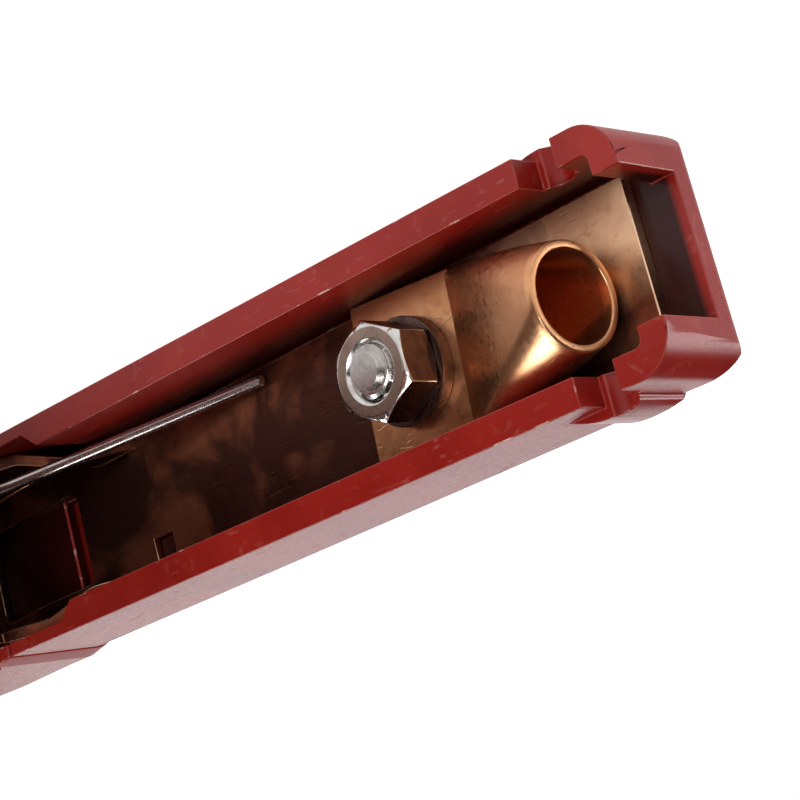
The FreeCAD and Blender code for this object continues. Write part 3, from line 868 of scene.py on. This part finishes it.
@dataclass
class CrimpLug:
    """The tube lug on the handle: a flat palm, a neck pressed from round to flat and an open barrel.

    Places are in the arm's directions, from the bolt on the palm's underside, in millimetres.
    """

    bolt_reach: float = 75.0
    underside: float = -17.4
    palm_thick: float = 1.4
    palm_front: float = 7.65
    palm_half: float = 9.2
    barrel_radius: float = 5.75
    wall: float = 0.8
    belly: float = 0.45  # how far the middle of the neck swells over straight lines
    mouth: float = 27.2
    rise: float = 6.5
    tilt: float = 7.5
    turn: float = -4.3
    root: float = 0.6
    inset: float = 0.08
    pressed: float = 0.8
    lip: float = 0.16
    rings: int = 14
    sides: int = 64

    def _turned(self, place: Vector) -> Vector:
        """Turns a place about the bolt and lifts it onto the web, in metres."""
        turned = Matrix.Rotation(math.radians(self.turn), 3, "Z") @ place
        return (turned + Vector((self.bolt_reach, 0.0, self.underside))) * MM

    def _ring(self, share: float, inset: float, back: float = 0.0) -> bpy.types.Object:
        """Makes one ring of the neck or barrel, from the flat oblong at the palm to the round mouth.

        Args:
            share: How far along the neck it lies, 0 at the palm and 1 at the mouth.
            inset: How far inside the outer skin it lies.
            back: How far it lies behind its place, along the axis.

        Returns:
            The ring, in millimetres from the bolt.
        """
        flat_height = self.palm_thick / 2 - self.inset - inset * self.pressed
        flat = (self.palm_half - self.inset - inset - flat_height) * (1.0 - share)
        belly = self.belly * math.sin(math.pi * share)
        radius = flat_height + (self.barrel_radius - inset - flat_height) * share + belly
        tilt = math.radians(self.tilt) * share
        root = Vector((self.palm_front - self.root, 0.0, self.palm_thick / 2))
        mouth = Vector((self.mouth, 0.0, self.rise))
        place = root + (mouth - root) * share - Vector((math.cos(tilt), 0.0, math.sin(tilt))) * back
        bpy.ops.mesh.primitive_circle_add(vertices=self.sides, radius=radius, location=(0.0, 0.0, 0.0))
        ring = Bench.new("ring")
        ring.rotation_euler = (0.0, 0.0, math.pi / self.sides)
        bpy.ops.object.transform_apply(rotation=True)
        Bench.edit(ring)
        for way in (1.0, -1.0):
            bpy.ops.mesh.select_all(action="DESELECT")
            Bench.pick(ring, lambda at, way=way: at.x * way > 0.0)
            bpy.ops.transform.translate(value=(way * flat, 0.0, 0.0))
        Bench.close()
        across = Matrix(((0.0, 0.0, 1.0), (1.0, 0.0, 0.0), (0.0, 1.0, 0.0)))
        ring.matrix_world = Matrix.Translation(place) @ (Matrix.Rotation(-tilt, 3, "Y") @ across).to_4x4()
        bpy.ops.object.transform_apply(location=True, rotation=True, scale=True)
        return ring

    def _tube(self) -> bpy.types.Object:
        """Joins the rings into the neck and barrel, outside and inside.

        Returns:
            The tube, from the bolt, in millimetres.
        """
        shares = [step / self.rings for step in range(self.rings)]
        lip, third = self.lip, 0.3 * self.lip
        rings = [self._ring(share, 0.0) for share in shares]
        rings += [self._ring(1.0, 0.0, lip), self._ring(1.0, third, third), self._ring(1.0, lip)]
        rings += [self._ring(1.0, self.wall - lip), self._ring(1.0, self.wall - third, third),
                  self._ring(1.0, self.wall, lip)]
        rings += [self._ring(share, self.wall) for share in reversed(shares)]
        Bench.join(rings[0], rings[1:])
        tube = Bench.new("crimp_lug")
        Bench.edit(tube)
        for step in range(len(rings) - 1):
            self._bridge(tube, step)
        for step in (0, len(rings) - 1):
            bpy.ops.mesh.select_all(action="DESELECT")
            self._pick_ring(tube, step)
            bpy.ops.mesh.edge_face_add()
        Bench.close()
        return tube

    def _pick_ring(self, tube: bpy.types.Object, step: int) -> None:
        """Selects one of the joined rings, whose corners follow each other."""
        mesh = bmesh.from_edit_mesh(tube.data)
        mesh.verts.ensure_lookup_table()
        for corner in mesh.verts[step * self.sides:(step + 1) * self.sides]:
            corner.select = True
        mesh.select_flush(True)
        bmesh.update_edit_mesh(tube.data)

    def _bridge(self, tube: bpy.types.Object, step: int) -> None:
        """Closes the wall between a ring and the next one.

        Args:
            tube: The joined rings, open in edit mode.
            step: Which ring.
        """
        bpy.ops.mesh.select_all(action="DESELECT")
        self._pick_ring(tube, step)
        self._pick_ring(tube, step + 1)
        bpy.ops.mesh.select_mode(type="EDGE")
        bpy.ops.mesh.bridge_edge_loops()
        bpy.ops.mesh.select_mode(type="VERT")

    def build(self, solid: bpy.types.Object, frame: ArmFrame) -> bpy.types.Object:
        """Makes the lug, with its palm cut from a copy of the solid.

        Args:
            solid: The lug's node.
            frame: The arm that carries it.

        Returns:
            The lug.
        """
        tube = self._tube()
        select_only(tube)
        tube.matrix_world = Matrix.Translation(self._turned(Vector())) @ Matrix.Rotation(
            math.radians(self.turn), 4, "Z") @ Matrix.Scale(MM, 4)
        bpy.ops.object.transform_apply(location=True, rotation=True, scale=True)
        Bench.settle(tube, frame)
        Bench.outward(tube)
        palm = Bench.copy_node(solid, "palm")
        ahead = frame.turn() @ Matrix.Rotation(math.radians(self.turn), 3, "Z") @ Vector((1.0, 0.0, 0.0))
        cut = PIN_AXIS + frame.turn() @ self._turned(Vector((self.palm_front - 0.06, 0.0, 0.0)))
        Bench.edit(palm, whole=True)
        bpy.ops.mesh.bisect(plane_co=cut, plane_no=ahead, use_fill=True, clear_outer=True)
        Bench.close()
        Bench.round_edges(palm, 0.14)
        Bench.join(tube, [palm])
        Bench.smooth(tube, 36.0)
        return tube


@dataclass
class LugBolt:
    """The bolt through lug and arm, with a real thread on the stretch that shows past the nut."""

    reach: float = 75.0
    crest: float = 2.96
    core: float = 2.42
    pitch: float = 1.0
    start: float = -11.6  # height where the thread begins, inside the nut
    top: float = -8.5
    point: float = 0.6
    narrowing: float = 1.0
    steps: int = 48
    outline: tuple[Stretch, ...] = ((0.0, 0.0), (1.0, 0.36), (1.0, 0.50), (0.0, 0.86), (0.0, 1.0))

    def _thread(self) -> bpy.types.Object:
        """Winds the thread's outline up the bolt and trims its end to the bolt's point.

        Returns:
            The threaded stretch, in metres about the bolt's own axis.
        """
        depth = self.crest - self.core
        outline = [(depth * out, along) for out, along in self.outline]
        bpy.ops.mesh.primitive_circle_add(vertices=3, radius=MM, location=(0.0, 0.0, 0.0))
        thread = Bench.new("thread")
        Bench.edit(thread, whole=True)
        bpy.ops.mesh.merge(type="CENTER")
        bpy.ops.transform.translate(value=(self.core * MM, 0.0, (self.start - self.pitch) * MM))
        at = outline[0]
        for following in outline[1:]:
            step = Vector((following[0] - at[0], 0.0, (following[1] - at[1]) * self.pitch)) * MM
            bpy.ops.mesh.extrude_region_move(TRANSFORM_OT_translate={"value": tuple(step)})
            at = following
        Bench.close()
        turns = math.ceil((self.top - self.start) / self.pitch) + 2
        Bench.apply(thread, "SCREW", axis="Z", angle=2 * math.pi, screw_offset=self.pitch * MM,
                    iterations=turns, steps=self.steps, use_merge_vertices=True, merge_threshold=WELD,
                    use_normal_calculate=True)
        Bench.edit(thread, whole=True)
        bpy.ops.mesh.remove_doubles(threshold=WELD)
        bpy.ops.mesh.select_all(action="DESELECT")
        bpy.ops.mesh.select_non_manifold(extend=False)
        bpy.ops.mesh.edge_face_add()
        bpy.ops.mesh.select_all(action="SELECT")
        bpy.ops.mesh.normals_make_consistent(inside=False)
        Bench.close()
        return thread

    def _envelope(self) -> bpy.types.Object:
        """Makes the plain pointed rod that the thread is trimmed to."""
        height = self.top - self.start
        bpy.ops.mesh.primitive_cylinder_add(vertices=2 * self.steps, radius=self.crest * MM,
                                            depth=height * MM,
                                            location=(0.0, 0.0, (self.start + height / 2) * MM))
        rod = Bench.new("pointed_rod")
        Bench.edit(rod)
        mesh_top = (self.top - 1e-3) * MM
        Bench.pick(rod, lambda at: at.z > mesh_top)
        bpy.ops.mesh.select_mode(type="FACE")
        bpy.ops.transform.translate(value=(0.0, 0.0, -self.point * MM))
        bpy.ops.mesh.extrude_region_move(TRANSFORM_OT_translate={"value": (0.0, 0.0, self.point * MM)})
        share = (self.crest - self.narrowing) / self.crest
        bpy.ops.transform.resize(value=(share, share, 1.0))
        Bench.close()
        return rod

    def build(self, solid: bpy.types.Object, frame: ArmFrame) -> bpy.types.Object:
        """Makes the bolt from the thread and a copy of the solid's plain stretch.

        Args:
            solid: The bolt's node.
            frame: The arm that carries it.

        Returns:
            The bolt.
        """
        thread = self._thread()
        rod = self._envelope()
        Bench.apply(thread, "BOOLEAN", operation="INTERSECT", object=rod, solver="EXACT")
        bpy.data.objects.remove(rod)
        select_only(thread)
        thread.location = (self.reach * MM, 0.0, 0.0)
        bpy.ops.object.transform_apply(location=True)
        Bench.settle(thread, frame)
        shank = Bench.copy_node(solid, "shank")
        cut = frame.place(self.reach, 0.0, self.start + 0.4)
        Bench.edit(shank, whole=True)
        bpy.ops.mesh.bisect(plane_co=cut, plane_no=frame.turn() @ Vector((0.0, 0.0, 1.0)), use_fill=True,
                            clear_outer=True)
        Bench.close()
        Bench.round_edges(shank, 0.15)
        Bench.join(thread, [shank])
        bolt = Bench.new("threaded_bolt")
        Bench.smooth(bolt, 30.0)
        return bolt


@dataclass
class ClosingSpring:
    """The wound spring with one long leg to each handle, in round wire."""

    wire: float = 0.75
    radius: float = 5.2
    turns: int = 5
    half_height: float = 7.45
    leg_reach: float = 51.7
    web: float = -17.4
    lift: float = 0.05
    cut_end: float = 0.15  # length over which a leg's end is narrowed
    steps: int = 40
    sides: int = 16

    def _leg(self) -> tuple[float, float]:
        """Gives the leg's direction in the model and its length in millimetres."""
        end_z = self.web + self.wire + self.lift
        distance = math.hypot(self.leg_reach, end_z)
        angle = math.atan2(end_z, self.leg_reach) + math.asin(self.radius / distance)
        return angle - SPLAY, math.sqrt(distance ** 2 - self.radius ** 2)

    def build(self) -> bpy.types.Object:
        """Winds the coil, draws out both legs and closes their ends.

        Returns:
            The spring.
        """
        lean, length = self._leg()
        start = lean - math.pi / 2
        whole = self.turns + (math.pi + start) / math.pi
        bpy.ops.mesh.primitive_circle_add(vertices=self.sides, radius=self.wire * MM,
                                          location=(self.radius * MM, 0.0, -self.half_height * MM),
                                          rotation=(math.pi / 2, 0.0, 0.0))
        spring = Bench.new("wound_spring")
        bpy.ops.object.transform_apply(location=True, rotation=True)
        sweep = -2 * math.pi * whole
        Bench.apply(spring, "SCREW", axis="Z", angle=sweep, screw_offset=2 * self.half_height * MM,
                    iterations=1, steps=round(self.steps * whole))
        Bench.edit(spring)
        first = Vector((self.radius, 0.0, -self.half_height)) * MM
        turned = self.radius * math.cos(sweep), self.radius * math.sin(sweep)
        last = Vector((*turned, self.half_height)) * MM
        reach = self.wire * 1.01 * MM
        way_first = Vector((0.0, 1.0, 0.0))
        way_last = Vector((math.sin(sweep), -math.cos(sweep), 0.0))
        for at, way in ((first, way_first), (last, way_last)):
            bpy.ops.mesh.select_all(action="DESELECT")
            Bench.pick(spring, lambda place, at=at, way=way: (place - at).length < reach
                       and abs((place - at).dot(way)) < 1e-6)
            for part in (length - self.cut_end, self.cut_end):
                bpy.ops.mesh.extrude_region_move(TRANSFORM_OT_translate={"value": tuple(way * part * MM)})
            tip = at + way * length * MM
            bpy.ops.transform.resize(value=(0.8, 0.8, 0.8), center_override=tuple(tip))
            bpy.ops.mesh.edge_face_add()
        Bench.close()
        select_only(spring)
        spring.matrix_world = Matrix.Translation(PIN_AXIS) @ Matrix.Rotation(start, 4, "Z")
        bpy.ops.object.transform_apply(location=True, rotation=True)
        Bench.outward(spring)
        Bench.smooth(spring, 40.0)
        return spring


class Slot(Enum):
    """The record's material slots."""

    MOULDING = "red_moulding"
    ARM = "copper_plated_steel"
    CONTACT = "contact_copper"
    LUG = "lug_copper"
    STEEL = "zinc_plated_steel"
    SPRING = "spring_steel"


@dataclass(frozen=True)
class Rounded:
    """How a node is shown again with its edges rounded."""

    node: str
    name: str
    side: Side
    slot: Slot
    width: float


ROUNDED = (
    Rounded("cable_arm_grip", "cable_grip_moulding", Side.CABLE, Slot.MOULDING, 0.15),
    Rounded("plain_arm_grip", "plain_grip_moulding", Side.PLAIN, Slot.MOULDING, 0.15),
    Rounded("cable_arm_jaw_cover", "cable_jaw_moulding", Side.CABLE, Slot.MOULDING, 0.28),
    Rounded("plain_arm_jaw_cover", "plain_jaw_moulding", Side.PLAIN, Slot.MOULDING, 0.28),
    Rounded("cable_arm", "cable_arm_pressing", Side.CABLE, Slot.ARM, 0.16),
    Rounded("plain_arm", "plain_arm_pressing", Side.PLAIN, Slot.ARM, 0.16),
    Rounded("cable_arm_contact", "cable_toothed_contact", Side.CABLE, Slot.CONTACT, 0.12),
    Rounded("plain_arm_contact", "plain_toothed_contact", Side.PLAIN, Slot.CONTACT, 0.12),
    Rounded("lug_washer", "flat_washer", Side.CABLE, Slot.STEEL, 0.14),
    Rounded("lug_nut", "hexagon_nut", Side.CABLE, Slot.STEEL, 0.09),
    Rounded("pivot_pin", "headed_pin", Side.CABLE, Slot.STEEL, 0.14),
    Rounded("pivot_washer", "pin_washer", Side.CABLE, Slot.STEEL, 0.1),
)


class Clip:
    """The whole clip: its finishes and its dressed pieces."""

    OILED, BRUSHED = 2, 3  # places of the painted-shade and the painted-reflection finishes on the nut and the washer
    COIL_HALF = 0.0065  # from the pin axis to where the spring's turning starts and ends

    def __init__(self, frame: dict[str, object]) -> None:
        """Builds the finishes.
        """
        self.nodes = frame["nodes"]
        effects = SharedEffects()
        self.red = RedMoulding("red_moulding").make(effects)
        self.edge = MouldingEdge("moulding_edge").make(effects)
        # The arm's plate: painted light at the handle's end, painted shade in the channel.
        self.plate = ShadedAndLitPlate("copper_plate", bright=(0.98, 0.66, 0.42), dark=(0.6, 0.27, 0.13),
                                  browned=0.5, smooth=0.36).make(effects)
        # Painted reflection on the nut's face: a duller brown steel. Painted shade on its flanks and the
        # washer: a near-black steel.
        self.painted_reflection = PlatedSteel("painted_reflection_steel", tone=(0.44, 0.32, 0.26), dull=(0.3, 0.2, 0.16),
                                   smooth=0.3).make(effects)
        self.shaded = PlatedSteel("painted_shade_steel", tone=(0.16, 0.1, 0.085), dull=(0.07, 0.035, 0.03),
                                  smooth=0.26).make(effects)
        self.copper_edge = CopperSkin("copper_edge", bright=(0.95, 0.62, 0.4), dark=(0.5, 0.22, 0.11),
                                      browned=0.4, smooth=0.2).make(effects)
        self.lug = CopperSkin("lug_copper", bright=(0.98, 0.53, 0.27), dark=(0.5, 0.15, 0.055),
                              browned=0.38, smooth=0.3).make(effects)
        self.steel = PlatedSteel("bright_steel").make(effects)
        self.wire = PlatedSteel("spring_wire", tone=(0.75, 0.72, 0.7), smooth=0.2).make(effects)

    def _finishes(self, slot: Slot) -> tuple[bpy.types.Material, bpy.types.Material]:
        """Picks the finish of a slot and the finish of its worn edges."""
        return {
            Slot.MOULDING: (self.red, self.edge), Slot.ARM: (self.plate, self.copper_edge),
            Slot.CONTACT: (self.lug, self.copper_edge), Slot.LUG: (self.lug, self.copper_edge),
            Slot.STEEL: (self.steel, self.steel), Slot.SPRING: (self.wire, self.wire),
        }[slot]

    def build(self) -> None:
        """Makes every shown piece."""
        for item in ROUNDED:
            piece = Bench.copy_node(self.nodes[item.node], item.name)
            Bench.dress(piece, *self._finishes(item.slot))
            Bench.round_edges(piece, item.width)
            self._shade_flanks(piece, item)
            self._declare(piece, item.side, item.slot, item.node)
        cable = ArmFrame(Side.CABLE)
        lug = CrimpLug().build(self.nodes["cable_lug"], cable)
        Bench.dress(lug, *self._finishes(Slot.LUG))
        self._declare(lug, Side.CABLE, Slot.LUG, "cable_lug")
        bolt = LugBolt().build(self.nodes["lug_bolt"], cable)
        Bench.dress(bolt, *self._finishes(Slot.STEEL))
        self._declare(bolt, Side.CABLE, Slot.STEEL, "lug_bolt")
        self._spring()
        for name in ("cable_arm_contact_rivets", "plain_arm_contact_rivets", "spring_sleeve"):
            self._give(self.nodes[name], self.steel)

    def _shade_flanks(self, piece: bpy.types.Object, item: Rounded) -> None:
        """Gives the nut's face a painted reflection in a duller brown steel, and its flanks and the washer
        painted shade in a near-black steel.

        Args:
            piece: The rounded piece.
            item: What it stands for.
        """
        if item.node not in ("lug_washer", "lug_nut"):
            return
        piece.data.materials.append(self.shaded)
        piece.data.materials.append(self.painted_reflection)
        up = ArmFrame(item.side).turn() @ Vector((0.0, 0.0, 1.0))
        for face in piece.data.polygons:
            if item.node == "lug_washer" or (abs(face.normal.dot(up)) < 0.3 and face.material_index == 0):
                face.material_index = self.OILED
            elif face.normal.dot(up) > 0.98:
                face.material_index = self.BRUSHED

    def _spring(self) -> None:
        """Makes the spring, wound from one arm's leg to the other's, and hides the solid's spring."""
        spring = ClosingSpring().build()
        Bench.dress(spring, *self._finishes(Slot.SPRING))
        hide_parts("torsion_spring")
        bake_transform(spring)
        LOG.info("made %s", spring.name)

    @staticmethod
    def _declare(piece: bpy.types.Object, side: Side, slot: Slot, node: str) -> None:
        """Args:
            piece: The piece.
            side: The body that it moves with.
            slot: Its material slot; not used.
            node: The node that it replaces.
        """
        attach(piece, side.value)
        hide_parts(node)
        LOG.info("made %s with %d faces", piece.name, len(piece.data.polygons))

    @staticmethod
    def _give(node: bpy.types.Object, material: bpy.types.Material) -> None:
        """Puts one material in all slots of a node.

        Args:
            node: The node's object.
            material: The material.
        """
        if not node.material_slots:
            node.data.materials.append(material)
        for slot in node.material_slots:
            slot.material = material
        LOG.info("dressed %s", node.name)


def main() -> None:
    """Builds the studio and the clip."""
    logging.basicConfig(level=logging.INFO, format="%(message)s")
    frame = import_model()
    PhotoCamera().build()
    Studio().build()
    Clip(frame).build()
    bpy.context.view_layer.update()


if __name__ == "__main__":
    main()
